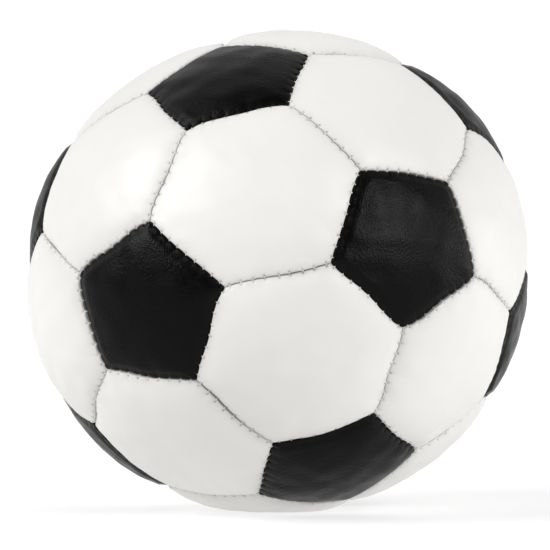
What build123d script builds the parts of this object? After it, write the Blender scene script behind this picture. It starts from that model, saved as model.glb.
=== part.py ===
from build123d import *
import os
from math import atan2, cos, radians, sin, sqrt

# A soft, hand-sized medicine ball: 12 black pentagon and 20 white hexagon panels of
# synthetic leather, sewn inside out, stuffed with fibre round a bag of sand.
# The origin is the centre of the flat that the ball has settled onto, and +Z is up.
# The panel pattern stands on a hexagon, then leans and drifts a little towards +X, as
# the ball was put down. One of the three upper pentagons faces +X.

# ---- Driving dimensions, mm ----------------------------------------------------

BALL_WIDTH = 153.0         # across the belt; the filling has settled, so it is oblate
BALL_HEIGHT = 143.0        # from the resting flat to the crown
REST_RADIUS = 14.0         # of the flat under the base hexagon
CROWN_RADIUS = 4.0         # of the slight flat on top, a tenth of a millimetre deep
PATTERN_LEAN = 6.2         # degrees, of the panel pattern's upright axis towards +X
PATTERN_DRIFT = 3.0        # of the panel pattern's centre towards +X

SKIN = 1.2                 # thickness of the synthetic leather
SEAM_DEPTH = 4.5           # how far the turned-in seam allowance reaches below the skin
FOLD_RADIUS = 2.0          # of the panel's edge, where it rolls over into the seam
CORNER_RADIUS = 2.5        # of the panel's corners, seen from outside

THREAD_RADIUS = 0.3
THREAD_CLEARANCE = 0.15    # from the thread to the two folds it lies between
THREAD_SETBACK = 1.2       # each seam's thread stops this far short of the corner

STUFFING_CLEARANCE = 0.3
WADS = 4                   # handfuls of fibre, packed round the bag
WAD_GAP = 0.2              # between neighbouring wads

BAG_RADIUS = 48.0
BAG_CLOTH = 0.6
NECK_RADIUS = 7.0
NECK_HEIGHT = 10.0         # of the gathered neck above the bag
MOUTH_RADIUS = 10.0        # of the frilled mouth above the tie
MOUTH_HEIGHT = 3.0
TIE_RADIUS = 1.0
TIE_HEIGHT = 5.0           # of the tie above the bag
NECK_ROOM = 3.0            # between the neck and the stuffing

# ---- The settled ball ------------------------------------------------------------

HALF_WIDTH = BALL_WIDTH / 2
REST_SHARE = sqrt(1 - (REST_RADIUS / HALF_WIDTH) ** 2)
CROWN_SHARE = sqrt(1 - (CROWN_RADIUS / HALF_WIDTH) ** 2)
HALF_HEIGHT = BALL_HEIGHT / (REST_SHARE + CROWN_SHARE)      # before the two flats
CENTRE = Vector(0, 0, HALF_HEIGHT * REST_SHARE)
PATTERN_CENTRE = CENTRE + Vector(PATTERN_DRIFT, 0, 0)


def ellipsoid(depth):
    """The ball's outer form, shrunk by depth all round."""
    wide = HALF_WIDTH - depth
    tall = HALF_HEIGHT - depth
    arc = EllipticalCenterArc((0, 0), wide, tall, start_angle=-90, arc_size=180)
    half = Plane.XZ * make_face([arc, Line(arc @ 1, arc @ 0)])
    return Pos(CENTRE) * revolve(half, Axis.Z)


def between_flats(depth):
    """Everything between the resting flat and the crown's flat, each moved in by depth."""
    side = 2 * BALL_WIDTH
    return Pos(0, 0, BALL_HEIGHT / 2) * Box(side, side, BALL_HEIGHT - 2 * depth)


def settled_ball(depth):
    return ellipsoid(depth) & between_flats(depth)


def on_ball(direction, depth=0.0):
    """Where a ray from the pattern's centre leaves the ball, shrunk by depth."""
    wide = HALF_WIDTH - depth
    tall = HALF_HEIGHT - depth
    ray = Vector(direction.X * wide, direction.Y * wide, direction.Z * tall)
    start = PATTERN_DRIFT / wide
    head_start = start * direction.X
    return PATTERN_CENTRE + ray * (sqrt(head_start**2 + 1 - start**2) - head_start)


# ---- Panel layout: a truncated icosahedron standing on a hexagon ---------------------

UPPER_Z = sqrt((5 + 2 * sqrt(5)) / 15)
MIDDLE_Z = sqrt((5 - 2 * sqrt(5)) / 15)
PENTAGON_TIERS = (
    ("upper", UPPER_Z, 0),
    ("mid_upper", MIDDLE_Z, 60),
    ("mid_lower", -MIDDLE_Z, 0),
    ("lower", -UPPER_Z, 60),
)
HEXAGON_TIERS = (
    ("crown", 0.9, 1.1),
    ("shoulder", 0.5, 0.9),
    ("belt_upper", 0.0, 0.5),
    ("belt_lower", -0.5, 0.0),
    ("haunch", -0.9, -0.5),
    ("base", -1.1, -0.9),
)
NEIGHBOUR_COSINE = 0.4     # the cosine between neighbouring pentagons is 0.447
FIRST_TURN = -10           # degrees, where the numbering of each tier's hexagons begins
UPRIGHT_COSINE = 0.8       # of a wedge's edge that runs outwards from the ball's centre
WEDGE_BLOCK = (BALL_WIDTH, BALL_WIDTH, BALL_HEIGHT / 2)


def pentagon_directions():
    """Name and unit direction of each pentagon's centre."""
    named = {}
    for tier, height, first_turn in PENTAGON_TIERS:
        reach = sqrt(1 - height**2)
        for number in range(3):
            turn = radians(first_turn + 120 * number)
            upright = Vector(reach * cos(turn), reach * sin(turn), height)
            direction = upright.rotate(Axis.Y, PATTERN_LEAN)
            named[f"black_panel_{tier}_{number + 1}"] = direction
    return named


def are_neighbours(first, second):
    return NEIGHBOUR_COSINE < first.dot(second) < 1 - NEIGHBOUR_COSINE / 2


def corner(first, second):
    """The corner of the first pentagon that points at the second one."""
    return (first * 2 + second).normalized()


def turn_of(direction):
    """The direction's azimuth, counted from FIRST_TURN."""
    return (atan2(direction.Y, direction.X) - radians(FIRST_TURN)) % radians(360)


def around(centre, corners):
    """The corners in order round the panel's centre."""
    side = centre.cross(Vector(0.1, 0.3, 1)).normalized()
    other = centre.cross(side)
    return sorted(corners, key=lambda c: atan2(c.dot(other), c.dot(side)))


def pentagon_panels(pentagons):
    """Name: (centre direction, corner directions) of each black panel."""
    panels = {}
    for name, centre in pentagons.items():
        others = [p for p in pentagons.values() if are_neighbours(centre, p)]
        panels[name] = (centre, around(centre, [corner(centre, p) for p in others]))
    return panels


def hexagon_panels(pentagons):
    """Name: (centre direction, corner directions) of each white panel."""
    found = []
    points = list(pentagons.values())
    for i, a in enumerate(points):
        for j, b in enumerate(points[:i]):
            for c in points[:j]:
                if are_neighbours(a, b) and are_neighbours(b, c) and are_neighbours(a, c):
                    centre = (a + b + c).normalized()
                    pairs = ((a, b), (b, a), (b, c), (c, b), (c, a), (a, c))
                    corners = around(centre, [corner(*pair) for pair in pairs])
                    found.append((centre, corners))
    panels = {}
    for tier, low, high in HEXAGON_TIERS:
        ring = [panel for panel in found if low < panel[0].Z < high]
        ring.sort(key=lambda panel: turn_of(panel[0]))
        for number, panel in enumerate(ring):
            suffix = f"_{number + 1}" if len(ring) > 1 else ""
            panels[f"white_panel_{tier}{suffix}"] = panel
    return panels


# ---- Solids ----------------------------------------------------------------------


def wedge(centre, corners, inset, corner_radius=0.0):
    """The room between a panel's seam planes, each moved inwards by inset."""
    outwards = on_ball(centre) - PATTERN_CENTRE
    block = Plane(origin=on_ball(centre), z_dir=outwards) * Box(*WEDGE_BLOCK)
    for start, end in zip(corners, corners[1:] + corners[:1]):
        first = on_ball(start) - PATTERN_CENTRE
        second = on_ball(end) - PATTERN_CENTRE
        inwards = first.cross(second).normalized()
        if inwards.dot(outwards) < 0:
            inwards = inwards * -1
        seam = Plane(origin=PATTERN_CENTRE + inwards * inset, z_dir=inwards)
        block = split(block, bisect_by=seam, keep=Keep.TOP)
    if corner_radius:
        along = outwards.normalized()
        upright = [e for e in block.edges() if abs((e % 0.5).dot(along)) > UPRIGHT_COSINE]
        block = fillet(upright, corner_radius)
    return block


def panel_solid(centre, corners):
    """One sewn panel: a domed skin with its seam allowance turned in all round."""
    solid = (OUTER & wedge(centre, corners, 0, CORNER_RADIUS)) - INNERMOST
    dome = solid.faces().sort_by(SortBy.AREA)[-1]
    solid = fillet(dome.edges(), FOLD_RADIUS)
    solid = solid - (UNDER_SKIN & wedge(centre, corners, SKIN))
    return solid & between_flats(0)


def thread_solid(start, end):
    """The thread along one seam, lying in the crease between two folds."""
    reach = FOLD_RADIUS + THREAD_RADIUS + THREAD_CLEARANCE
    depth = FOLD_RADIUS - sqrt(reach**2 - FOLD_RADIUS**2)
    seam_length = (on_ball(start) - on_ball(end)).length
    trim = THREAD_SETBACK / seam_length
    near = (start * (1 - trim) + end * trim).normalized()
    far = (start * trim + end * (1 - trim)).normalized()
    middle = (start + end).normalized()
    path = ThreePointArc(on_ball(near, depth), on_ball(middle, depth), on_ball(far, depth))
    section = Plane(origin=path @ 0, z_dir=path % 0) * Circle(THREAD_RADIUS)
    return sweep(section, path=path)


def seam_key(start, end):
    ends = [tuple(round(value, 3) + 0.0 for value in point) for point in (start, end)]
    return tuple(sorted(ends))


def seams_of(panels):
    """Each panel's seams as {key: (start direction, end direction)}."""
    seams = {}
    for _, corners in panels.values():
        for start, end in zip(corners, corners[1:] + corners[:1]):
            seams[seam_key(start, end)] = (start, end)
    return seams


def bag_outline(grow, neck_grow):
    """The tied bag's outside, larger by grow, and by neck_grow round its neck."""
    body = Sphere(BAG_RADIUS + grow)
    neck_top = BAG_RADIUS + NECK_HEIGHT
    neck = Pos(0, 0, neck_top / 2) * Cylinder(NECK_RADIUS + neck_grow, neck_top)
    mouth_height = MOUTH_HEIGHT + neck_grow
    mouth = Pos(0, 0, neck_top + mouth_height / 2)
    mouth = mouth * Cylinder(MOUTH_RADIUS + neck_grow, mouth_height)
    return Pos(CENTRE) * (body + neck + mouth)


def fibre_wads():
    """The stuffing round the bag, as wads that each fill one sector of the ball."""
    ball = settled_ball(SEAM_DEPTH + STUFFING_CLEARANCE)
    ring = ball - bag_outline(STUFFING_CLEARANCE, NECK_ROOM)
    aside = (BALL_WIDTH + WAD_GAP) / 2
    sector = Pos(aside, aside, BALL_HEIGHT / 2) * Box(BALL_WIDTH, BALL_WIDTH, BALL_HEIGHT)
    return [ring & (Rot(0, 0, 360 / WADS * number) * sector) for number in range(WADS)]


def save(name, shape):
    export_step(shape, f"parts/{name}.step")


# ---- Build -----------------------------------------------------------------------

os.makedirs("parts", exist_ok=True)

OUTER = ellipsoid(0)
UNDER_SKIN = settled_ball(SKIN)
INNERMOST = settled_ball(SEAM_DEPTH)

pentagons = pentagon_directions()
black_panels = pentagon_panels(pentagons)
white_panels = hexagon_panels(pentagons)
all_panels = {**black_panels, **white_panels}

for name, (centre, corners) in all_panels.items():
    save(name, panel_solid(centre, corners))

for name, panel in black_panels.items():
    runs = [thread_solid(*ends) for ends in seams_of({name: panel}).values()]
    save(name.replace("black_panel", "black_stitching"), Compound(children=runs))

black_seams = seams_of(black_panels)
white_seams = {k: v for k, v in seams_of(white_panels).items() if k not in black_seams}
closing_key = max(white_seams, key=lambda key: white_seams[key][0].Y - white_seams[key][0].Z)
closing_ends = white_seams.pop(closing_key)
save("white_stitching", Compound(children=[thread_solid(*e) for e in white_seams.values()]))
save("closing_stitching", thread_solid(*closing_ends))

save("fibre_stuffing", Compound(children=fibre_wads()))
save("sand_bag", bag_outline(0, 0) - Pos(CENTRE) * Sphere(BAG_RADIUS - BAG_CLOTH))
save("sand_fill", Pos(CENTRE) * Sphere(BAG_RADIUS - BAG_CLOTH))
tie_place = CENTRE + Vector(0, 0, BAG_RADIUS + TIE_HEIGHT)
save("bag_tie", Pos(tie_place) * Torus(NECK_RADIUS + TIE_RADIUS, TIE_RADIUS))
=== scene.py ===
from itertools import combinations
from math import cos, pi, radians, sin, sqrt

import bpy
import numpy as np
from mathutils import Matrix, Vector


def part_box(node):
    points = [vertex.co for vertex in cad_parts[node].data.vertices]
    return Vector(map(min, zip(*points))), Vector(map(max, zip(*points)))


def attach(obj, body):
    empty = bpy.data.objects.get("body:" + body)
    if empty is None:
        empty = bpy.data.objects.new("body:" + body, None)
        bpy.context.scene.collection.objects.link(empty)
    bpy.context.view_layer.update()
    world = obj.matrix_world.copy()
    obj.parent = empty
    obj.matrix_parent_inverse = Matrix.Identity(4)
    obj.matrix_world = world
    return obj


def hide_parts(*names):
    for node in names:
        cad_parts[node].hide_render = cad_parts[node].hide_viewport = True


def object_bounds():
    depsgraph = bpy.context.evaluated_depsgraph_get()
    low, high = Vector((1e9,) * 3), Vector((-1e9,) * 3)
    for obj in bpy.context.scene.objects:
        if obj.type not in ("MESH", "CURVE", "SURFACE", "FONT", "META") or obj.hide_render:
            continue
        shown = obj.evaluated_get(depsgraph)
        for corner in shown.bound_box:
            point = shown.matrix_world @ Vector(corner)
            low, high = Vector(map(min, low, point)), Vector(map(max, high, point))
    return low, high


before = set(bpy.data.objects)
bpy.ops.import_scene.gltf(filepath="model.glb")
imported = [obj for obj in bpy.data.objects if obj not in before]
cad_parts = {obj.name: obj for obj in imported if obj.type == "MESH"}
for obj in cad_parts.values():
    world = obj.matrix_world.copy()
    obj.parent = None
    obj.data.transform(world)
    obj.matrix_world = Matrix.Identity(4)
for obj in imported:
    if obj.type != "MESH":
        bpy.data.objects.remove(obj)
cad_low, cad_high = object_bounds()

# Lengths below are in millimetres, and MM turns them into Blender's metres.

MM = 0.001
SEED = 32

# ---- The settled ball, as the frame gives it ----------------------------------------

HALF_WIDTH = (cad_high.y - cad_low.y) / 2 / MM
BALL_HEIGHT = cad_high.z / MM
REST_FLAT, CROWN_FLAT = 14.0, 4.0    # radii of the flats at the bottom and the top
REST_SHARE = sqrt(1 - (REST_FLAT / HALF_WIDTH) ** 2)
CROWN_SHARE = sqrt(1 - (CROWN_FLAT / HALF_WIDTH) ** 2)
HALF_HEIGHT = BALL_HEIGHT / (REST_SHARE + CROWN_SHARE)
CENTRE = np.array([0.0, 0.0, HALF_HEIGHT * REST_SHARE])
MEAN_RADIUS = (2 * HALF_WIDTH + HALF_HEIGHT) / 3
PATTERN_LEAN = radians(6.2)          # of the panel pattern towards +X
PATTERN_DRIFT = 3.0                  # of the panel pattern's centre towards +X
REST_SOFTNESS = 0.5                  # mm2, rounds the edge of the flat it rests on

UNEVEN, UNEVEN_WAVE = 0.2, 60.0      # gentle unevenness all over the ball
LUMPS = (                  # (azimuth, elevation, height, reach in degrees)
    (-10, 45, 2.0, 30),    # the filling bulges at one shoulder
    (-10, -20, -1.5, 30),  # it has sunk below that shoulder
    (190, 25, -1.6, 55),   # and the other side is flatter all the way down
)
KNOT_SHIFT = 0.3           # how far the sewing is out of place at each corner
KNOT_REACH = 13.0          # and how far from the corner that is felt

# ---- Leather, seams and stitches -----------------------------------------------------

SKIN = 1.2                 # leather thickness
FOLD = 0.55                # radius of the roll into a seam
FLANGE_DEPTH = 4.1         # of the turned-in allowance below the surface
PILLOW = 1.6               # how far the stuffing domes a panel above its seams
PILLOW_REACH = 4.6         # over this distance from the seam
PUFF_REACH = 11.0          # over which one panel is fuller than another
DIMPLE, DIMPLE_WAVE = 0.08, 9.0      # gentle unevenness of one panel
INNER_REACH = 3.0          # from the seam, where that unevenness sets in
WALL_GAP = 0.04            # from a panel's turned-in wall to the seam plane
CORNER_BLEND = 0.4         # rounds the fold where two seams meet

STITCHES = 9               # along each seam
HOLE_OFFSET = 0.62         # of a needle hole from the seam
HOLE_RADIUS = 0.27
DENT_AT, DENT_WIDTH = 0.5, 0.6       # where each stitch pulls the leather in
TICK_WIDTH = 0.21          # of the short nick from a hole to the seam
PUCKER_WIDTH, PUCKER_FAN = 0.55, 0.16  # at the seam, and how fast a pucker widens
PUCKER_START = 0.5
RIPPLE, RIPPLE_WAVE = 0.06, 7.5      # along the seam
RIPPLE_START, RIPPLE_REACH = 1.5, 4.5
PROUD_REACH = 2.2          # how far in an edge that stands proud is felt
CORNER_FADE = 0.03         # share of a seam, at each end, without stitches' marks
WANDER_REACH = 3.5         # of the crease's wandering, into the panels
HEM_GROOVE, HEM_RIDGE = 0.10, 0.14   # along a black panel's edge
GROOVE_AT, GROOVE_WIDTH = 1.7, 0.6
RIDGE_AT, RIDGE_WIDTH = 3.1, 0.8
BLACK_PUCKER = 0.65        # how much shallower the puckers are beside a black panel
CREASE_WIDTH = 0.12        # of the painted shade along the crease where two panels meet
WEAR_REACH = 1.6           # of the wear along the seams
THREAD = 0.14              # radius of the thread

# The mesh of a panel: columns in one stitch, rings from the seam, and the way back under.

FINE_CELL = (0.0, 0.14, 0.27, 0.37, 0.44, 0.5, 0.56, 0.63, 0.73, 0.86)
FINE_RINGS = (0.0, 0.04, 0.16, 0.31, 0.46, 0.59, 0.74, 0.95, 1.2, 1.6, 2.2, 3.0, 4.0)
COARSE_STEP = 5            # every fifth fine column goes on across the panel
COARSE_START = 5.4         # the first ring of coarse columns
COARSE_RING = 1.9          # between rings further in
POLE_ROOM = 1.35           # rings left free round the middle, in COARSE_RINGs
WALL_PARTS = (0.35, 0.75, 1.0)       # of the turned-in wall's depth
UNDER_RINGS = (SKIN + 0.15, 2.2, 3.4, 5.2, 8.0, 12.0, 16.0)


def unit(v):
    return v / np.linalg.norm(v, axis=-1, keepdims=True)


def toward(azimuth, elevation):
    a, e = radians(azimuth), radians(elevation)
    return np.array([cos(a) * cos(e), sin(a) * cos(e), sin(e)])


def waves(points, wavelength, count, seed):
    """Smooth noise of about unit size: a sum of plane waves with random headings."""
    rng = np.random.default_rng([SEED, seed])
    headings = unit(rng.normal(size=(count, 3)))
    stretch = rng.uniform(0.7, 1.4, count) * 2 * pi / wavelength
    phases = rng.uniform(0, 2 * pi, count)
    return np.sin(points @ (headings * stretch[:, None]).T + phases).sum(1) * sqrt(2 / count)


# ---- Panel layout: a truncated icosahedron on a hexagon, leaning a little -------------


def pentagon_directions():
    upper, middle = sqrt((5 + 2 * sqrt(5)) / 15), sqrt((5 - 2 * sqrt(5)) / 15)
    found = []
    for height, first_turn in ((upper, 0), (middle, 60), (-middle, 0), (-upper, 60)):
        reach = sqrt(1 - height**2)
        for number in range(3):
            turn = radians(first_turn + 120 * number)
            found.append((reach * cos(turn), reach * sin(turn), height))
    c, s = cos(PATTERN_LEAN), sin(PATTERN_LEAN)
    lean = np.array([[c, 0, s], [0, 1, 0], [-s, 0, c]])
    return np.array(found) @ lean.T


PENTAGONS = pentagon_directions()
NEIGHBOURS = {
    (i, j)
    for i, j in combinations(range(12), 2)
    if PENTAGONS[i] @ PENTAGONS[j] > 0.4
}


def corner(i, j):
    """The corner of pentagon i that points at pentagon j."""
    return unit(2 * PENTAGONS[i] + PENTAGONS[j])


def around(centre, corners):
    """The corners, anticlockwise seen from outside."""
    side = unit(np.cross(centre, (0.1, 0.3, 1.0)))
    other = np.cross(centre, side)
    return sorted(corners, key=lambda c: np.arctan2(c @ other, c @ side))


def box_middle(node):
    low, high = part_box(node)
    return unit((np.array(low) + np.array(high)) / 2 / MM - CENTRE)


PANEL_MIDDLES = {node: box_middle(node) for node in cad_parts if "panel" in node}


def node_facing(prefix, direction):
    """The CAD node whose box lies that way from the ball's centre."""
    nodes = [node for node in PANEL_MIDDLES if node.startswith(prefix)]
    return max(nodes, key=lambda node: PANEL_MIDDLES[node] @ direction)


def find_panels():
    panels = []
    for i in range(12):
        others = [j for j in range(12) if (min(i, j), max(i, j)) in NEIGHBOURS]
        corners = around(PENTAGONS[i], [corner(i, j) for j in others])
        panels.append(("black", PENTAGONS[i], corners))
    for i, j, k in combinations(range(12), 3):
        if {(i, j), (i, k), (j, k)} <= NEIGHBOURS:
            centre = unit(PENTAGONS[i] + PENTAGONS[j] + PENTAGONS[k])
            pairs = ((i, j), (j, i), (j, k), (k, j), (k, i), (i, k))
            panels.append(("white", centre, around(centre, [corner(*p) for p in pairs])))
    return panels


class Seam:
    """One sewn edge between two panels, with everything both sides share."""

    def __init__(self, start, end, index):
        self.start, self.end = start, end
        self.across = unit(np.cross(start, end))      # to the side that lies on the left
        self.along = np.cross(self.across, start)
        self.angle = np.arccos(start @ end)
        self.length = self.angle * MEAN_RADIUS
        self.panels = {}                              # side, +1 or -1, to panel
        rng = np.random.default_rng([SEED, 1000 + index])
        self.rng = rng
        self.places = (np.arange(STITCHES) + 0.5 + rng.uniform(-0.08, 0.08, STITCHES)) / STITCHES
        self.holes = HOLE_OFFSET * rng.uniform(0.85, 1.15, (2, STITCHES))
        self.dark = rng.uniform(0.3, 1.0, (2, STITCHES))          # how dark the painted shade at each needle hole is
        self.dent = rng.uniform(0.06, 0.28, (2, STITCHES))        # depths
        self.tick = rng.uniform(0.0, 0.32, (2, STITCHES))
        self.tick_reach = rng.uniform(0.5, 1.3, (2, STITCHES))
        self.groove = rng.uniform(0.02, 0.17, (2, STITCHES))      # of the puckers
        self.groove_reach = rng.uniform(1.2, 3.6, (2, STITCHES))
        self.bow = rng.uniform(-0.35, 0.35, 3)                    # of the crease, sideways
        self.phase = rng.uniform(0, 2 * pi, 2)                    # of the ripple
        self.proud = rng.uniform(-0.34, 0.34, 2)                  # of one edge above the other
        self.scallop = rng.uniform(-0.12, 0.12)
        self.swing = rng.uniform(0.2, 1.5, STITCHES + 1)          # of each scallop
        self.painted_crease_shade = rng.uniform(0.0, 0.35)                       # how dark the painted shade along the crease is

    def meet(self):
        """Beside a black panel the white edge stands proud and the black one scallops it."""
        for side, panel in self.panels.items():
            if panel.colour == "black":
                self.proud[0] = -side * self.rng.uniform(0.12, 0.38)
                self.scallop = -side * self.rng.uniform(0.1, 0.2)
                self.groove = self.groove * BLACK_PUCKER

    def share(self, directions):
        """How far along the seam a direction lies, from 0 to 1."""
        return np.arctan2(directions @ self.along, directions @ self.start) / self.angle

    def off(self, directions):
        """Distance from the seam, positive on the + side."""
        return np.arcsin(np.clip(directions @ self.across, -1, 1)) * MEAN_RADIUS

    def wander(self, share):
        """How far the crease wanders to the + side: a bow, and a scallop between stitches."""
        inside = np.clip(share, 0, 1)
        low = sum(self.bow[n] * np.sin((n + 1) * pi * inside) for n in range(3))
        known = np.concatenate([[0.0], self.places, [1.0]])
        count = np.interp(inside, known, np.arange(STITCHES + 2))
        swing = self.swing[np.clip(count.astype(int), 0, STITCHES)]
        return low + self.scallop * swing * np.abs(np.sin(pi * count))

    def gaps(self, share):
        """Distance along the seam from every stitch."""
        return (share[:, None] - self.places) * self.length

    def relief(self, side, share, distance):
        """Dents, ticks and puckers at the stitches, and which panel's edge stands proud."""
        row = 0 if side > 0 else 1
        gap, away = self.gaps(share), distance[:, None]
        apart = (away - DENT_AT) / DENT_WIDTH
        dents = self.dent[row] * np.exp(-((gap / DENT_WIDTH) ** 2) - apart**2)
        apart = away / self.tick_reach[row]
        ticks = self.tick[row] * np.exp(-((gap / TICK_WIDTH) ** 2) - apart**2)
        fan = PUCKER_WIDTH + PUCKER_FAN * away
        grooves = self.groove[row] * np.exp(-((gap / fan) ** 2) - away / self.groove_reach[row])
        grooves = grooves * (1 - np.exp(-((away / PUCKER_START) ** 2)))
        ripple = np.sin(share * self.length * 2 * pi / RIPPLE_WAVE + self.phase[row])
        ripple = RIPPLE * ripple * np.exp(-distance / RIPPLE_REACH)
        ripple = ripple * (1 - np.exp(-((distance / RIPPLE_START) ** 2)))
        inside = np.clip(share, 0, 1)
        proud = self.proud[0] * np.sin(pi * inside) + self.proud[1] * np.sin(2 * pi * inside)
        lift = side * proud * np.exp(-distance / PROUD_REACH)
        return ripple + lift - (dents + ticks + grooves).sum(1)

    def hole_shade(self, side, share, distance):
        """How dark the painted shade at the needle holes is, from 0 to 1."""
        row = 0 if side > 0 else 1
        apart = self.gaps(share) ** 2 + (distance[:, None] - self.holes[row]) ** 2
        return (self.dark[row] * np.exp(-apart / HOLE_RADIUS**2)).max(1)


class Panel:
    def __init__(self, colour, centre, corners, index):
        self.colour, self.centre, self.corners, self.index = colour, centre, corners, index
        self.node = node_facing(f"{colour}_panel", centre)
        self.edges = []                               # (seam, side, runs forward)
        rng = np.random.default_rng([SEED, 2000 + index])
        self.puff = rng.uniform(-0.2, 0.5)            # how full its middle is
        self.tilt = rng.normal(size=3) * 0.25         # how its middle leans

    def distances(self, directions):
        return np.stack([side * seam.off(directions) for seam, side, _ in self.edges])

    def height(self, directions):
        """Height of the outer surface above the settled ball."""
        apart = self.distances(directions)
        near = -CORNER_BLEND * np.log(np.exp(-apart / CORNER_BLEND).sum(0))
        near = np.clip(near - WALL_GAP, 0, None)
        roll = np.where(near < FOLD, np.sqrt(np.clip(FOLD**2 - (FOLD - near) ** 2, 0, None)), FOLD)
        height = roll - FOLD - PILLOW * np.exp(-near / PILLOW_REACH)
        height = height + self.puff * (1 - np.exp(-((near / PUFF_REACH) ** 2)))
        for (seam, side, _), distance in zip(self.edges, apart):
            share = seam.share(directions)
            fade = np.clip(share / CORNER_FADE, 0, 1) * np.clip((1 - share) / CORNER_FADE, 0, 1)
            height = height + fade * seam.relief(side, share, np.clip(distance, 0, None))
        if self.colour == "black":
            height = height - HEM_GROOVE * np.exp(-(((near - GROOVE_AT) / GROOVE_WIDTH) ** 2))
            height = height + HEM_RIDGE * np.exp(-(((near - RIDGE_AT) / RIDGE_WIDTH) ** 2))
        points = directions * MEAN_RADIUS
        inner = 1 - np.exp(-((near / INNER_REACH) ** 2))
        height = height + inner * DIMPLE * waves(points, DIMPLE_WAVE, 24, self.index)
        return height + inner * (points @ self.tilt) / MEAN_RADIUS

    def shade(self, directions):
        """Painted shade: how dark the leather is painted at its needle holes and along the line of
        the crease.
        """
        apart = np.clip(self.distances(directions), 0, None)
        found = np.zeros(len(directions))
        for (seam, side, _), distance in zip(self.edges, apart):
            # painted shade along the crease, then painted shade in the needle holes
            line = seam.painted_crease_shade * np.exp(-((distance / CREASE_WIDTH) ** 2))
            holes = seam.hole_shade(side, seam.share(directions), distance)
            found = np.maximum(found, np.maximum(line, holes))
        return found


def find_seams(panels):
    seams = {}
    for panel in panels:
        ring = panel.corners
        for start, end in zip(ring, ring[1:] + ring[:1]):
            ends = sorted([tuple(start.round(4) + 0.0), tuple(end.round(4) + 0.0)])
            key = tuple(ends)
            forward = ends[0] == tuple(start.round(4) + 0.0)
            if key not in seams:
                first, last = (start, end) if forward else (end, start)
                seams[key] = Seam(first, last, len(seams))
            seam = seams[key]
            side = 1 if seam.across @ panel.centre > 0 else -1
            seam.panels[side] = panel
            panel.edges.append((seam, side, forward))
    for seam in seams.values():
        seam.meet()
    return list(seams.values())


PANELS = [Panel(*found, index) for index, found in enumerate(find_panels())]
SEAMS = find_seams(PANELS)

# ---- Where a direction and a height end up --------------------------------------------

KNOTS = unit(np.array([c for panel in PANELS[:12] for c in panel.corners]))
KNOT_SHIFTS = np.random.default_rng([SEED, 7]).normal(size=KNOTS.shape) * KNOT_SHIFT


def shifted(directions):
    """The pattern drifts, and its sewing is never quite even: each corner is a little off."""
    start = PATTERN_DRIFT / HALF_WIDTH
    ahead = start * directions[:, :1]
    reach = np.sqrt(ahead**2 + 1 - start**2) - ahead
    moved = (directions * reach + (start, 0, 0)) * MEAN_RADIUS
    for knot, shift in zip(KNOTS, KNOT_SHIFTS):
        sideways = shift - (shift @ knot) * knot
        gap = np.linalg.norm(directions - knot, axis=1) * MEAN_RADIUS
        moved = moved + np.exp(-((gap / KNOT_REACH) ** 2))[:, None] * sideways
    return unit(moved)


def lumps(directions):
    """The broad bulges and hollows of the stuffed ball."""
    height = UNEVEN * waves(directions * MEAN_RADIUS, UNEVEN_WAVE, 16, 5)
    for azimuth, elevation, tall, reach in LUMPS:
        apart = np.degrees(np.arccos(np.clip(directions @ toward(azimuth, elevation), -1, 1)))
        height = height + tall * np.exp(-((apart / reach) ** 2))
    return height


def settle(directions, height):
    """Points of the ball, pressed flat where it rests."""
    lifted = height + lumps(directions)
    reach = np.stack([HALF_WIDTH + lifted, HALF_WIDTH + lifted, HALF_HEIGHT + lifted], 1)
    points = CENTRE + directions * reach
    low = points[:, 2]
    points[:, 2] = (low + np.sqrt(low**2 + REST_SOFTNESS)) / 2
    return points


def place(seams, directions, height):
    """Points at a height above the ball, with the sewn pattern's unevenness."""
    moved = directions.copy()
    for seam in seams:
        share = seam.share(directions)
        hold = np.exp(-((seam.off(directions) / WANDER_REACH) ** 2))
        hold = hold * ((share > 0) & (share < 1))
        moved = moved + (seam.wander(share) * hold / MEAN_RADIUS)[:, None] * seam.across
    return settle(shifted(unit(moved)), height)


# ---- Meshes -----------------------------------------------------------------------


def make_object(name, points, faces, material):
    mesh = bpy.data.meshes.new(name)
    mesh.from_pydata((points * MM).tolist(), [], faces)
    mesh.validate()
    mesh.polygons.foreach_set("use_smooth", [True] * len(mesh.polygons))
    mesh.materials.append(material)
    obj = bpy.data.objects.new(name, mesh)
    bpy.context.scene.collection.objects.link(obj)
    return obj


def join_rings(lower, upper):
    """Faces between two closed rings of vertices; one may be COARSE_STEP times finer."""
    if len(lower) == len(upper):
        n = len(lower)
        return [(lower[i], lower[(i + 1) % n], upper[(i + 1) % n], upper[i]) for i in range(n)]
    faces = []
    fine, coarse = (lower, upper) if len(lower) > len(upper) else (upper, lower)
    half = COARSE_STEP // 2
    for c in range(len(coarse)):
        here, there = coarse[c], coarse[(c + 1) % len(coarse)]
        for step in range(COARSE_STEP):
            a = fine[(c * COARSE_STEP + step) % len(fine)]
            b = fine[(c * COARSE_STEP + step + 1) % len(fine)]
            faces.append((a, b, here if step < half else there))
            if step == half:
                faces.append((a, there, here))
    if fine is upper:
        faces = [face[::-1] for face in faces]
    return faces


def outer_rings(apothem):
    """Distances from the seam of the fine and coarse rings, from the crease inwards."""
    fine = [WALL_GAP + distance for distance in FINE_RINGS]
    coarse = [COARSE_START]
    while coarse[-1] < apothem - COARSE_RING * POLE_ROOM:
        coarse.append(coarse[-1] + COARSE_RING)
    return fine, coarse


def rim_directions(panel):
    """Points round the panel's edge, in ten columns to each stitch."""
    rim = []
    for seam, _, forward in panel.edges:
        cells = np.arange(STITCHES)[:, None] + np.array(FINE_CELL)
        edges = np.arange(STITCHES + 1) / STITCHES
        known = np.sort(np.concatenate([edges, (edges[:-1] + edges[1:]) / 2]))
        actual = known.copy()
        actual[1::2] = seam.places
        share = np.interp(cells.ravel() / STITCHES, known, actual)
        if not forward:
            share = np.append(share, 1.0)[:0:-1]
        rim.append(seam.start + share[:, None] * (seam.end - seam.start))
    return unit(np.concatenate(rim))


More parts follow.
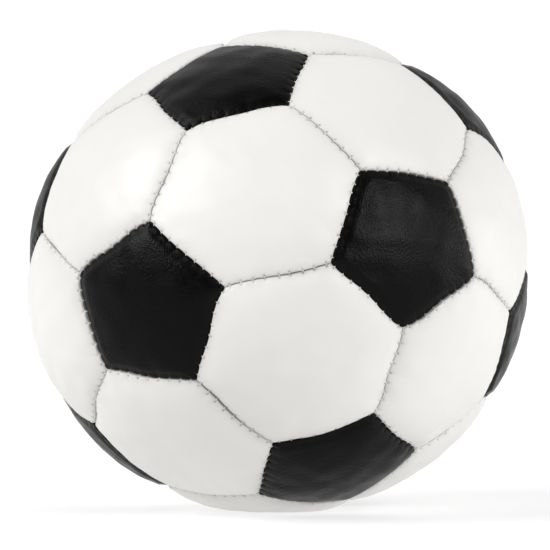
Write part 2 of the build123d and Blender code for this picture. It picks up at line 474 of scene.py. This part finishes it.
def skin_layers(panel, rim, apothem):
    """Rings from the dome's middle, down the turned-in wall and back under the skin."""
    def ring(distance, step):
        t = distance / apothem
        return unit(rim[::step] * (1 - t) + panel.centre * t)

    fine, coarse = outer_rings(apothem)
    middle = panel.centre[None]
    layers = [(middle, panel.height(middle))]
    for step, distances in ((COARSE_STEP, coarse), (1, fine)):
        for distance in reversed(distances):
            there = ring(distance, step)
            layers.append((there, panel.height(there)))
    crease = layers[-1][1]
    for part in WALL_PARTS:
        layers.append((ring(WALL_GAP, 1), crease + part * (-FLANGE_DEPTH - crease)))
    under = ring(SKIN, COARSE_STEP)
    layers.append((under, np.full(len(under), -FLANGE_DEPTH)))
    for distance in UNDER_RINGS:
        there = ring(distance, COARSE_STEP)
        layers.append((there, panel.height(there) - SKIN))
    layers.append((middle, panel.height(middle) - SKIN))
    return layers


def join_layers(layers):
    """Faces between one layer and the next; a layer of one vertex is a pole."""
    starts, count = [], 0
    for where, _ in layers:
        starts.append(range(count, count + len(where)))
        count += len(where)
    faces = []
    for inner, outer in zip(starts, starts[1:]):
        if len(inner) == 1:
            n = len(outer)
            faces += [(inner[0], outer[i], outer[(i + 1) % n]) for i in range(n)]
        elif len(outer) == 1:
            n = len(inner)
            faces += [(outer[0], inner[(i + 1) % n], inner[i]) for i in range(n)]
        else:
            faces += [face[::-1] for face in join_rings(inner, outer)]
    return faces


def point_attribute(obj, name, values):
    attribute = obj.data.attributes.new(name, "FLOAT", "POINT")
    attribute.data.foreach_set("value", values.astype(np.float32))


def build_panel(panel):
    """A closed skin: domed outside, turned-in walls, and the underside."""
    apothem = panel.distances(panel.centre[None])[:, 0].mean()
    layers = skin_layers(panel, rim_directions(panel), apothem)
    directions = np.concatenate([where for where, _ in layers])
    heights = np.concatenate([height for _, height in layers])
    points = place([seam for seam, _, _ in panel.edges], directions, heights)
    name = panel.node.replace("panel", "leather")
    obj = make_object(name, points, join_layers(layers), LEATHERS[panel.colour])
    near = np.clip(panel.distances(directions).min(0), 0, None)
    point_attribute(obj, "seam_wear", np.exp(-near / WEAR_REACH))
    # the stitch_shade attribute holds the painted shade at the needle holes and along the crease
    point_attribute(obj, "stitch_shade", panel.shade(directions))
    finish_piece(obj, f"{panel.colour}_leather", panel.node)
    return obj, apothem


def finish_piece(obj, slot, *nodes):
    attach(obj, "root")
    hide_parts(*nodes)


def tube(path, radius, sides=7):
    """Vertices and faces of a closed round tube along a path."""
    ahead = unit(np.gradient(path, axis=0))
    normal = unit(np.cross(ahead[0], (0.31, 0.52, 0.8)))
    rings = []
    turns = np.arange(sides) * 2 * pi / sides
    for point, direction in zip(path, ahead):
        normal = unit(normal - (normal @ direction) * direction)
        other = np.cross(direction, normal)
        spokes = np.cos(turns)[:, None] * normal + np.sin(turns)[:, None] * other
        rings.append(point + radius * spokes)
    points = np.concatenate(rings)
    faces = []
    for r in range(len(path) - 1):
        for i in range(sides):
            j = (i + 1) % sides
            faces.append((r * sides + i, r * sides + j, (r + 1) * sides + j, (r + 1) * sides + i))
    faces.append(tuple(range(sides))[::-1])
    faces.append(tuple((len(path) - 1) * sides + i for i in range(sides)))
    return points, faces


def smooth_path(points, steps):
    """A Catmull-Rom curve through the points."""
    padded = np.concatenate([2 * points[:1] - points[1:2], points, 2 * points[-1:] - points[-2:-1]])
    a, b, c, d = padded[:-3], padded[1:-2], padded[2:-1], padded[3:]
    parts = []
    for t in np.arange(steps) / steps:
        part = (2 * b + (c - a) * t + (2 * a - 5 * b + 4 * c - d) * t**2)
        parts.append((part + (3 * b - a - 3 * c + d) * t**3) / 2)
    return np.concatenate([np.stack(parts, 1).reshape(-1, points.shape[1]), points[-1:]])


def beside(seam, shares, offs):
    """Directions at places along a seam and distances across it."""
    line = unit(seam.start + shares[:, None] * (seam.end - seam.start))
    return unit(line + offs[:, None] / MEAN_RADIUS * seam.across)


def surface_height(seam, shares, offs):
    """Height of the leather beside a seam."""
    directions = beside(seam, shares, offs)
    left = seam.panels[1].height(directions)
    right = seam.panels[-1].height(directions)
    return np.where(offs > 0, left, right)


OUT_OF_SIGHT = 1.0         # how much deeper the thread lies on a black panel's side
CROSSING = 0.12            # how far it crosses the crease beside a black panel
BESIDE_CREASE = 0.3        # where the fold's height is read, on both sides


def thread_run(seam, side):
    """One side's thread: up through each hole, over the fold, and down into the crease.

    Round a black panel the thread crosses over from the white side, and stays out of
    sight on the black one.
    """
    row = 0 if side > 0 else 1
    beside_black = "black" in (seam.panels[1].colour, seam.panels[-1].colour)
    sunk = OUT_OF_SIGHT if seam.panels[side].colour == "black" else 0.0
    over = CROSSING if beside_black else 0.0
    holes = seam.holes[row]
    rise = seam.rng.uniform(-0.1, 0.07, STITCHES)
    slant = seam.rng.uniform(-0.3, 0.3, STITCHES) / seam.length
    at_hole = surface_height(seam, seam.places, side * holes)
    half_way = surface_height(seam, seam.places, side * holes / 2)
    meet = (surface_height(seam, seam.places, np.full(STITCHES, BESIDE_CREASE))
            + surface_height(seam, seam.places, np.full(STITCHES, -BESIDE_CREASE))) / 2
    shares, offs, heights = [], [], []
    for k in range(STITCHES):
        steps = (              # (share of the slant, distance from the seam, height)
            (0.0, holes[k] + 0.05, at_hole[k] - 0.9),
            (0.0, holes[k] * 0.85, at_hole[k] - 0.3),
            (0.3, holes[k] / 2, half_way[k] + 0.05 + rise[k]),
            (0.8, -over, meet[k] - 0.04 + rise[k]),
            (1.0, -over - 0.12, meet[k] - 0.8),
            (1.0, 0.6, -FLANGE_DEPTH / 2 - 0.4),
        )
        for lean, off, height in steps:
            shares.append(seam.places[k] + lean * slant[k])
            offs.append(side * off)
            heights.append(height - sunk)
    directions = beside(seam, np.array(shares), np.array(offs))
    return smooth_path(place([seam], directions, np.array(heights)), 3)


def build_stitching(name, node, seams):
    points, faces, count = [], [], 0
    for seam in seams:
        for side in (1, -1):
            made, joined = tube(thread_run(seam, side), THREAD)
            points.append(made)
            faces += [tuple(i + count for i in face) for face in joined]
            count += len(made)
    obj = make_object(name, np.concatenate(points), faces, THREAD_MATERIAL)
    finish_piece(obj, "stitching_thread", node)


# ---- What is inside: fibre, a bag of sand, and its tie ---------------------------------

bag_low, bag_high = (np.array(limit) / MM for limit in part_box("sand_bag"))
BAG_RADIUS = (bag_high[0] - bag_low[0]) / 2
BAG_CENTRE = np.array([0.0, 0.0, bag_low[2] + BAG_RADIUS])
BAG_TOP = bag_high[2] - BAG_CENTRE[2]
BAG_CLOTH = 0.6
NECK_RADIUS = 6.2
MOUTH_RADIUS = 9.4
TIE_HEIGHT = 5.0           # above the round of the bag
PLEATS = 17
PLEAT_DEPTH = 0.9          # on the bag's shoulder
NECK_PLEAT_DEPTH = 0.55    # under the tie, where they are pressed
WADS = 4
WAD_GAP = 0.35             # between two wads
WAD_INSIDE = 60.0          # mean radius at which that gap is measured
WAD_POLE = 1.5             # degrees left open round the poles
WAD_DEPTH, WAD_SWELL = 5.0, 2.6      # under the seams, and less under a panel
WAD_TUFTS = 0.16
BAG_ROOM = 0.8             # between the bag and the fibre round it
NECK_ROOM = 1.2            # and above the bag's mouth
WAD_ROWS, WAD_COLUMNS = 72, 36
BAG_ROWS, BAG_COLUMNS = 90, 170
SAND_ROWS, SAND_COLUMNS = 70, 120
SAND_HOLLOW = 2.4          # under the neck
SAND_ROOM = 1.6            # inside the bag's cloth
SAND_LUMP, SAND_LUMP_WAVE, SAND_SPAN = 0.12, 6.0, 48
POLE = 0.02                # radians left open round a pole, and closed by one face
PLY_RADIUS, PLY_TWIST = 0.46, 0.42   # the tie's two plies, and their turn about each other
PLY_TURNS = 24
KNOT_CORD, KNOT_SIZE = 0.42, 0.55


def grid_faces(rows, columns, first=0, closed=False):
    """Faces of a grid of rows x columns vertices; closed wraps the columns round."""
    faces = []
    for r in range(rows - 1):
        for c in range(columns if closed else columns - 1):
            here, there = first + r * columns, first + (r + 1) * columns
            right = (c + 1) % columns
            faces.append((here + c, here + right, there + right, there + c))
    return faces


def smoothstep(x):
    x = np.clip(x, 0, 1)
    return x * x * (3 - 2 * x)


def wad_surfaces(number):
    """Outer and inner points of one wad of fibre, as rows x columns grids."""
    tilt = np.radians(np.linspace(WAD_POLE, 180 - WAD_POLE, WAD_ROWS))  # from straight up
    edge = np.arcsin(np.clip(WAD_GAP / 2 / (WAD_INSIDE * np.sin(tilt)), 0, 0.7))
    turn = np.linspace(0, 1, WAD_COLUMNS)[None] * (pi / 2 - 2 * edge[:, None]) + edge[:, None]
    turn = turn + number * pi / 2
    tilt = np.broadcast_to(tilt[:, None], turn.shape)
    flat = np.sin(tilt)
    directions = np.stack([flat * np.cos(turn), flat * np.sin(turn), np.cos(tilt)], -1)
    directions = directions.reshape(-1, 3)
    near = np.max([panel.distances(directions).min(0) for panel in PANELS], axis=0)
    swell = smoothstep((near - 1.8) / 5.0)
    tufts = waves(directions * MEAN_RADIUS, 4.5, 30, 300 + number)
    depth = WAD_DEPTH - WAD_SWELL * swell + WAD_TUFTS * tufts * (0.4 + swell)
    outer = settle(shifted(directions), -depth)
    throat = smoothstep((20 - np.degrees(tilt.ravel())) / 7)
    reach = BAG_RADIUS + BAG_ROOM + (BAG_TOP + NECK_ROOM - BAG_RADIUS) * throat
    reach = reach + 0.25 * waves(directions * BAG_RADIUS, 5.0, 30, 400 + number)
    inner = BAG_CENTRE + directions * np.maximum(reach, BAG_RADIUS + 0.35)[:, None]
    return outer, inner


def build_wads():
    """Handfuls of fibre packed round the bag, each swelling into the panels over it."""
    points, faces = [], []
    side = WAD_ROWS * WAD_COLUMNS
    rows = np.arange(WAD_ROWS) * WAD_COLUMNS
    last = WAD_COLUMNS - 1
    for number in range(WADS):
        first = number * 2 * side
        points += wad_surfaces(number)
        faces += [face[::-1] for face in grid_faces(WAD_ROWS, WAD_COLUMNS, first)]
        faces += grid_faces(WAD_ROWS, WAD_COLUMNS, first + side)
        for a, b in zip(rows + first, rows[1:] + first):
            faces.append((b, a, a + side, b + side))
            faces.append((a + last, b + last, b + last + side, a + last + side))
        for c in range(first, first + last):
            faces.append((c, c + 1, c + 1 + side, c + side))
            bottom = c + rows[-1]
            faces.append((bottom + 1, bottom, bottom + side, bottom + 1 + side))
    obj = make_object("fibre_wads", np.concatenate(points), faces, FIBRE_MATERIAL)
    finish_piece(obj, "polyester_fibre", "fibre_stuffing")
    return obj


def bag_profile():
    """(radius, height) down the bag's outside from the mouth's rim to the bottom."""
    neck_top = BAG_TOP - 3.0
    waist = BAG_RADIUS + TIE_HEIGHT
    neck = np.array([
        (MOUTH_RADIUS, BAG_TOP - 0.3),
        (MOUTH_RADIUS - 0.4, neck_top),
        (NECK_RADIUS + 0.5, waist + 2.2),
        (NECK_RADIUS - 0.6, waist),
        (NECK_RADIUS, waist - 2.0),
        (NECK_RADIUS + 0.6, BAG_RADIUS + 0.6),
        (NECK_RADIUS + 3.0, BAG_RADIUS - 1.6),
    ])
    neck = smooth_path(neck, 6)
    start = np.arctan2(neck[-1, 0], neck[-1, 1]) + 0.03
    tilt = np.linspace(start, pi - POLE, BAG_ROWS - len(neck))
    body = BAG_RADIUS * np.stack([np.sin(tilt), np.cos(tilt)], 1)
    return np.concatenate([neck, body])


def bag_surface(inset):
    """The bag's surface, or its inside at an inset, as rows x columns points."""
    radius, height = bag_profile().T
    turn = np.arange(BAG_COLUMNS) * 2 * pi / BAG_COLUMNS
    share = smoothstep((height - 0.45 * BAG_RADIUS) / (0.6 * BAG_RADIUS))
    pleats = np.sin(PLEATS * turn + 0.9 * np.sin(3 * turn))
    depth = np.where(height > BAG_RADIUS, NECK_PLEAT_DEPTH, PLEAT_DEPTH * share)
    sag = 0.35 + depth[:, None] * (1 + pleats) / 2
    around_axis = np.stack([np.cos(turn), np.sin(turn)], -1)
    wide = (radius[:, None] - sag * np.minimum(radius / 6, 1)[:, None] - inset)[..., None]
    points = np.concatenate([wide * around_axis, np.zeros((len(radius), BAG_COLUMNS, 1))], -1)
    lift = np.where(height < 0, inset * -height / BAG_RADIUS, 0)
    points[..., 2] = (height + lift)[:, None]
    points = points.reshape(-1, 3)
    shrink = 1 - (0.12 + 0.1 * waves(points, 14.0, 20, 500)) / BAG_RADIUS
    return BAG_CENTRE + points * np.where(points[:, 2] < BAG_RADIUS, shrink, 1)[:, None]


def build_bag():
    """A calico bag with a pleated neck, closed by its tie."""
    outer, inner = bag_surface(0), bag_surface(BAG_CLOTH)
    count = len(outer)
    faces = [face[::-1] for face in grid_faces(BAG_ROWS, BAG_COLUMNS, closed=True)]
    faces += grid_faces(BAG_ROWS, BAG_COLUMNS, count, closed=True)
    for c in range(BAG_COLUMNS):
        right = (c + 1) % BAG_COLUMNS
        faces.append((c, right, right + count, c + count))
    bottom = (BAG_ROWS - 1) * BAG_COLUMNS
    faces.append(tuple(range(bottom, bottom + BAG_COLUMNS))[::-1])
    faces.append(tuple(range(count + bottom, count + bottom + BAG_COLUMNS)))
    obj = make_object("calico_bag", np.concatenate([outer, inner]), faces, CALICO_MATERIAL)
    finish_piece(obj, "bag_cloth", "sand_bag")


def build_sand():
    """The sand takes the bag's round shape, with a hollow under the neck."""
    tilt = np.linspace(POLE, pi - POLE, SAND_ROWS)
    turn = np.arange(SAND_COLUMNS) * 2 * pi / SAND_COLUMNS
    flat, up = np.sin(tilt)[:, None], np.cos(tilt)[:, None] * np.ones(len(turn))
    directions = np.stack([flat * np.cos(turn), flat * np.sin(turn), up], -1).reshape(-1, 3)
    hollow = SAND_HOLLOW * smoothstep((directions[:, 2] - 0.9) / 0.1)
    rough = SAND_LUMP * waves(directions * SAND_SPAN, SAND_LUMP_WAVE, 30, 600)
    reach = BAG_RADIUS - BAG_CLOTH - SAND_ROOM - hollow + rough
    points = BAG_CENTRE + directions * reach[:, None]
    faces = [face[::-1] for face in grid_faces(SAND_ROWS, SAND_COLUMNS, closed=True)]
    faces.append(tuple(range(SAND_COLUMNS)))
    last = (SAND_ROWS - 1) * SAND_COLUMNS
    faces.append(tuple(range(last, last + SAND_COLUMNS))[::-1])
    obj = make_object("sand_grains", points, faces, SAND_MATERIAL)
    finish_piece(obj, "sand", "sand_fill")


def build_tie():
    """Two plies twisted into a cord round the neck, closed by a small knot."""
    tie_centre = BAG_CENTRE + (0, 0, BAG_RADIUS + TIE_HEIGHT)
    turn = np.linspace(0, 2 * pi, 240)
    points, faces, count = [], [], 0
    paths = []
    for ply in (0, pi):
        twist = PLY_TURNS * turn + ply
        reach = NECK_RADIUS + 1.25 + PLY_TWIST * np.cos(twist)
        up = PLY_TWIST * np.sin(twist)
        path = np.stack([reach * np.cos(turn), reach * np.sin(turn), up], 1)
        paths.append((path, PLY_RADIUS))
    knot = np.linspace(0, 2 * pi, 60)
    trefoil = np.stack([
        NECK_RADIUS + 1.4 + 0.26 * np.cos(3 * knot),
        KNOT_SIZE * (np.sin(knot) + 2 * np.sin(2 * knot)) / 1.6,
        KNOT_SIZE * (np.cos(knot) - 2 * np.cos(2 * knot)) / 1.6,
    ], 1)
    paths.append((trefoil, KNOT_CORD))
    for path, radius in paths:
        made, joined = tube(tie_centre + path, radius, 8)
        points.append(made)
        faces += [tuple(i + count for i in face) for face in joined]
        count += len(made)
    obj = make_object("tie_cord", np.concatenate(points), faces, TIE_MATERIAL)
    finish_piece(obj, "tie_cord", "bag_tie")


# ---- Materials ---------------------------------------------------------------------


class Nodes:
    """A short way to write a node tree."""

    def __init__(self, name):
        self.material = bpy.data.materials.new(name)
        self.material.use_nodes = True
        self.tree = self.material.node_tree
        self.shader = self.tree.nodes["Principled BSDF"]

    def add(self, kind, **settings):
        node = self.tree.nodes.new(kind)
        for key, value in settings.items():
            if key[0].isupper():
                node.inputs[key.replace("_", " ")].default_value = value
            else:
                setattr(node, key, value)
        return node

    def link(self, source, target):
        self.tree.links.new(source, target)

    def place(self):
        """Object coordinates in millimetres."""
        where = self.add("ShaderNodeTexCoord")
        scale = self.add("ShaderNodeVectorMath", operation="SCALE")
        scale.inputs["Scale"].default_value = 1 / MM
        self.link(where.outputs["Object"], scale.inputs[0])
        return scale.outputs[0]

    def noise(self, where, size, detail=2.0, rough=0.5):
        node = self.add("ShaderNodeTexNoise", Scale=1 / size, Detail=detail, Roughness=rough)
        self.link(where, node.inputs["Vector"])
        return node.outputs["Fac"]

    def ramp(self, source, low, high, out_low, out_high):
        node = self.add("ShaderNodeMapRange")
        node.inputs["From Min"].default_value = low
        node.inputs["From Max"].default_value = high
        node.inputs["To Min"].default_value = out_low
        node.inputs["To Max"].default_value = out_high
        self.link(source, node.inputs["Value"])
        return node.outputs["Result"]

    def math(self, operation, a, b):
        node = self.add("ShaderNodeMath", operation=operation)
        for socket, value in zip(node.inputs, (a, b)):
            if isinstance(value, (int, float)):
                socket.default_value = value
            else:
                self.link(value, socket)
        return node.outputs[0]

    def mix(self, share, first, second):
        node = self.add("ShaderNodeMix", data_type="RGBA")
        self.link(share, node.inputs[0])
        for socket, value in ((node.inputs[6], first), (node.inputs[7], second)):
            if isinstance(value, tuple):
                socket.default_value = (*value, 1.0)
            else:
                self.link(value, socket)
        return node.outputs[2]

    def bump(self, height, distance, strength, normal=None):
        node = self.add("ShaderNodeBump", Strength=strength, Distance=distance * MM)
        self.link(height, node.inputs["Height"])
        if normal is not None:
            self.link(normal, node.inputs["Normal"])
        return node.outputs["Normal"]


PEBBLE, PORE = 0.55, 0.22            # sizes in the leather's grain
JITTER = 1.4                         # over which the pebbles' rows wander
PULLS, PULL_SIZE = 0.13, 5.0         # strength and size of its broad unevenness
CLOUD_SIZE = 22.0                    # of faint differences in tone


def leather_material(name, colour, worn, painted_shade, rough, specular, grain):
    """Smooth coated leathercloth: a fine pebbled grain, gentle pulls, wear at the seams, and
    painted shade at the needle holes and along the crease.
    """
    n = Nodes(name)
    where = n.place()
    cells = n.add("ShaderNodeTexVoronoi", feature="SMOOTH_F1", Scale=1 / PEBBLE)
    cells.inputs["Smoothness"].default_value = 0.6
    warp = n.add("ShaderNodeVectorMath", operation="ADD")
    jitter = n.add("ShaderNodeTexNoise", Scale=1 / JITTER, Detail=1.0)
    n.link(where, jitter.inputs["Vector"])
    n.link(where, warp.inputs[0])
    n.link(jitter.outputs["Color"], warp.inputs[1])
    n.link(warp.outputs[0], cells.inputs["Vector"])
    pebbles = cells.outputs["Distance"]
    fine = n.noise(where, PORE, 3.0, 0.6)
    broad = n.noise(where, PULL_SIZE, 3.0, 0.5)
    cloud = n.noise(where, CLOUD_SIZE, 2.0, 0.5)
    normal = n.bump(broad, 0.35, PULLS)
    normal = n.bump(pebbles, 0.09, grain, normal)
    normal = n.bump(fine, 0.05, grain * 0.6, normal)
    n.link(normal, n.shader.inputs["Normal"])
    wear = n.add("ShaderNodeAttribute", attribute_name="seam_wear").outputs["Fac"]
    mottled = n.math("MULTIPLY", n.ramp(broad, 0.3, 0.7, 0.35, 1.0), wear)
    shade = n.math("ADD", mottled, n.ramp(cloud, 0.35, 0.7, 0.0, 0.12))
    stitch_shade = n.add("ShaderNodeAttribute", attribute_name="stitch_shade").outputs["Fac"]
    # stitch_shade mixes in the painted shade colour: painted shade at the needle holes and along
    # the crease
    painted = n.mix(stitch_shade, n.mix(shade, colour, worn), painted_shade)
    n.link(painted, n.shader.inputs["Base Color"])
    n.link(n.ramp(broad, 0.3, 0.7, rough - 0.05, rough + 0.06), n.shader.inputs["Roughness"])
    n.shader.inputs["Specular IOR Level"].default_value = specular
    return n.material


def fibre_material(name, colour, other, size, rough=0.85, lift=0.12):
    """Matte fibres: two tones in fine noise, with bump."""
    n = Nodes(name)
    where = n.place()
    fibres = n.noise(where, size, 4.0, 0.7)
    n.link(n.mix(n.ramp(fibres, 0.35, 0.65, 0, 1), colour, other), n.shader.inputs["Base Color"])
    n.link(n.bump(fibres, lift, 0.6), n.shader.inputs["Normal"])
    n.link(n.ramp(fibres, 0.3, 0.7, rough - 0.06, rough + 0.06), n.shader.inputs["Roughness"])
    n.shader.inputs["Specular IOR Level"].default_value = 0.25
    return n.material


def calico_material():
    """A plain weave of slubby cotton yarns."""
    n = Nodes("calico")
    where = n.place()
    yarns = []
    for direction in ("X", "Z"):
        yarn = n.add("ShaderNodeTexWave", bands_direction=direction, Scale=0.42, Distortion=0.6)
        n.link(where, yarn.inputs["Vector"])
        yarns.append(yarn.outputs["Fac"])
    weave = n.math("MAXIMUM", *yarns)
    slub = n.noise(where, 2.5, 3.0, 0.6)
    tone = n.math("MULTIPLY", n.ramp(slub, 0.3, 0.7, 0.6, 1.0), n.ramp(weave, 0, 1, 0.5, 1.0))
    cotton = n.mix(tone, (0.42, 0.37, 0.28), (0.72, 0.67, 0.56))
    n.link(cotton, n.shader.inputs["Base Color"])
    n.link(n.bump(weave, 0.15, 0.7), n.shader.inputs["Normal"])
    n.link(n.ramp(slub, 0.3, 0.7, 0.8, 0.92), n.shader.inputs["Roughness"])
    return n.material


# the third colour of each leather is its painted shade for the needle holes and the crease
LEATHERS = {
    "white": leather_material(
        "white_leather", (0.69, 0.678, 0.66), (0.55, 0.535, 0.515), (0.08, 0.066, 0.057),
        rough=0.42, specular=0.35, grain=0.14,
    ),
    "black": leather_material(
        "black_leather", (0.001, 0.001, 0.0012), (0.005, 0.0045, 0.004), (0.001, 0.001, 0.001),
        rough=0.33, specular=0.08, grain=0.85,
    ),
}
THREAD_MATERIAL = fibre_material("white_thread", (0.84, 0.84, 0.82), (0.62, 0.62, 0.60), 0.12)
FIBRE_MATERIAL = fibre_material(
    "polyester_fibre", (0.82, 0.82, 0.80), (0.60, 0.60, 0.58), 0.9, rough=0.9, lift=0.5
)
CALICO_MATERIAL = calico_material()
SAND_MATERIAL = fibre_material(
    "river_sand", (0.55, 0.43, 0.27), (0.26, 0.19, 0.11), 0.5, rough=0.88, lift=0.3
)
TIE_MATERIAL = fibre_material("cotton_tie", (0.70, 0.66, 0.58), (0.46, 0.42, 0.35), 0.2)

# ---- Build ---------------------------------------------------------------------------


def declare_sheet(panel, apothem):
    """Works out the size of the flat panel as it was cut, a regular polygon with its seam
    allowance; the size is not used further.
    """
    sides = len(panel.corners)
    inner = apothem + FLANGE_DEPTH
    outer = inner / cos(pi / sides)
    if sides == 6:
        flat = (2 * inner, 2 * outer)
    else:
        flat = (2 * outer * cos(radians(18)), inner + outer)   # a pentagon's widest corners
    flat = tuple(length * MM for length in flat)


wads = build_wads()
build_bag()
build_sand()
build_tie()

for panel in PANELS:
    leather, apothem = build_panel(panel)
    declare_sheet(panel, apothem)

black_seams = set()
for panel in PANELS[:12]:
    seams = [seam for seam, _, _ in panel.edges]
    black_seams.update(id(seam) for seam in seams)
    node = panel.node.replace("panel", "stitching")
    build_stitching(node.replace("stitching", "stitches"), node, seams)
white_seams = [seam for seam in SEAMS if id(seam) not in black_seams]
closing_middle = box_middle("closing_stitching")
closing = max(white_seams, key=lambda seam: unit(seam.start + seam.end) @ closing_middle)
build_stitching("closing_stitches", "closing_stitching", [closing])
machine_sewn = [seam for seam in white_seams if seam is not closing]
build_stitching("white_stitches", "white_stitching", machine_sewn)

# ---- Studio -------------------------------------------------------------------------

VIEW_AZIMUTH, VIEW_ELEVATION = 2.1, 0.2
VIEW_DISTANCE = 1.0
VIEW_WIDTH = 0.165
VIEW_AIM = (-0.6, 0.0, -0.4)       # from the ball's centre
SENSOR = 36.0
FLOOR_RADIUS = 9.0
FLOOR_GLOW, GLOW_SHARE = 1.06, 0.64  # a light table keeps the ball's shadow faint
BACKDROP, ROOM = 0.8, 0.03           # light from behind the ball, and from elsewhere
BACKDROP_START, BACKDROP_FULL = -0.1, 0.4   # how far towards the back it sets in
WORLD_SEEN = 1.05                    # what the camera sees of it is plain white

SOFTBOXES = (              # (name, way it comes from, strength in W/m2, width in degrees)
    ("left_softbox", (-0.7, -0.3, 0.55), 3.0, 40),
    ("right_softbox", (0.7, -0.5, 0.4), 2.2, 35),
    ("rim_softbox", (1.0, 0.2, 0.05), 0.8, 25),
)


def aim_at(obj, where, target):
    obj.location = where
    obj.rotation_euler = (target - Vector(where)).to_track_quat("-Z", "Y").to_euler()


def add_floor():
    turns = np.arange(64) * 2 * pi / 64
    ring = [(FLOOR_RADIUS * cos(t), FLOOR_RADIUS * sin(t), 0.0) for t in turns]
    mesh = bpy.data.meshes.new("floor")
    mesh.from_pydata(ring, [], [tuple(range(64))])
    floor = bpy.data.objects.new("floor", mesh)
    bpy.context.scene.collection.objects.link(floor)
    table = Nodes("light_table")
    table.shader.inputs["Base Color"].default_value = (0.94, 0.94, 0.94, 1)
    table.shader.inputs["Roughness"].default_value = 0.9
    table.shader.inputs["Specular IOR Level"].default_value = 0.1
    glow = table.add("ShaderNodeEmission", Strength=FLOOR_GLOW)
    both = table.add("ShaderNodeMixShader")
    both.inputs[0].default_value = GLOW_SHARE
    table.link(table.shader.outputs[0], both.inputs[1])
    table.link(glow.outputs[0], both.inputs[2])
    table.link(both.outputs[0], table.tree.nodes["Material Output"].inputs["Surface"])
    mesh.materials.append(table.material)


def add_world():
    """A white backdrop lights the ball from behind; the rest of the room is dim."""
    world = bpy.data.worlds.new("studio")
    bpy.context.scene.world = world
    world.use_nodes = True
    tree = world.node_tree
    seen = tree.nodes.new("ShaderNodeBackground")
    seen.inputs["Color"].default_value = (1, 1, 1, 1)
    seen.inputs["Strength"].default_value = WORLD_SEEN
    light = tree.nodes["Background"]
    light.inputs["Color"].default_value = (1, 1, 1, 1)
    where = tree.nodes.new("ShaderNodeTexCoord")
    split = tree.nodes.new("ShaderNodeSeparateXYZ")
    fade = tree.nodes.new("ShaderNodeMapRange")
    fade.inputs["From Min"].default_value = BACKDROP_START
    fade.inputs["From Max"].default_value = BACKDROP_FULL
    fade.inputs["To Min"].default_value = ROOM
    fade.inputs["To Max"].default_value = BACKDROP
    tree.links.new(where.outputs["Generated"], split.inputs[0])
    tree.links.new(split.outputs["Y"], fade.inputs["Value"])
    tree.links.new(fade.outputs["Result"], light.inputs["Strength"])
    path = tree.nodes.new("ShaderNodeLightPath")
    mix = tree.nodes.new("ShaderNodeMixShader")
    tree.links.new(path.outputs["Is Camera Ray"], mix.inputs[0])
    tree.links.new(light.outputs[0], mix.inputs[1])
    tree.links.new(seen.outputs[0], mix.inputs[2])
    tree.links.new(mix.outputs[0], tree.nodes["World Output"].inputs["Surface"])


def add_softbox(name, way, strength, width):
    lamp = bpy.data.lights.new(name, "SUN")
    lamp.energy = strength
    lamp.angle = radians(width)
    obj = bpy.data.objects.new(name, lamp)
    aim_at(obj, way, Vector((0, 0, 0)))
    bpy.context.scene.collection.objects.link(obj)


def add_camera(target):
    data = bpy.data.cameras.new("camera")
    data.sensor_width = SENSOR
    data.lens = SENSOR * VIEW_DISTANCE / VIEW_WIDTH
    camera = bpy.data.objects.new("camera", data)
    a, e = radians(VIEW_AZIMUTH), radians(VIEW_ELEVATION)
    back = Vector((sin(a) * cos(e), -cos(a) * cos(e), sin(e)))
    aim = target + Vector(VIEW_AIM) * MM
    aim_at(camera, aim + back * VIEW_DISTANCE, aim)
    bpy.context.scene.collection.objects.link(camera)
    bpy.context.scene.camera = camera


bpy.context.scene.view_settings.view_transform = "Standard"
add_floor()
add_world()
for softbox in SOFTBOXES:
    add_softbox(*softbox)
add_camera(Vector(CENTRE * MM))
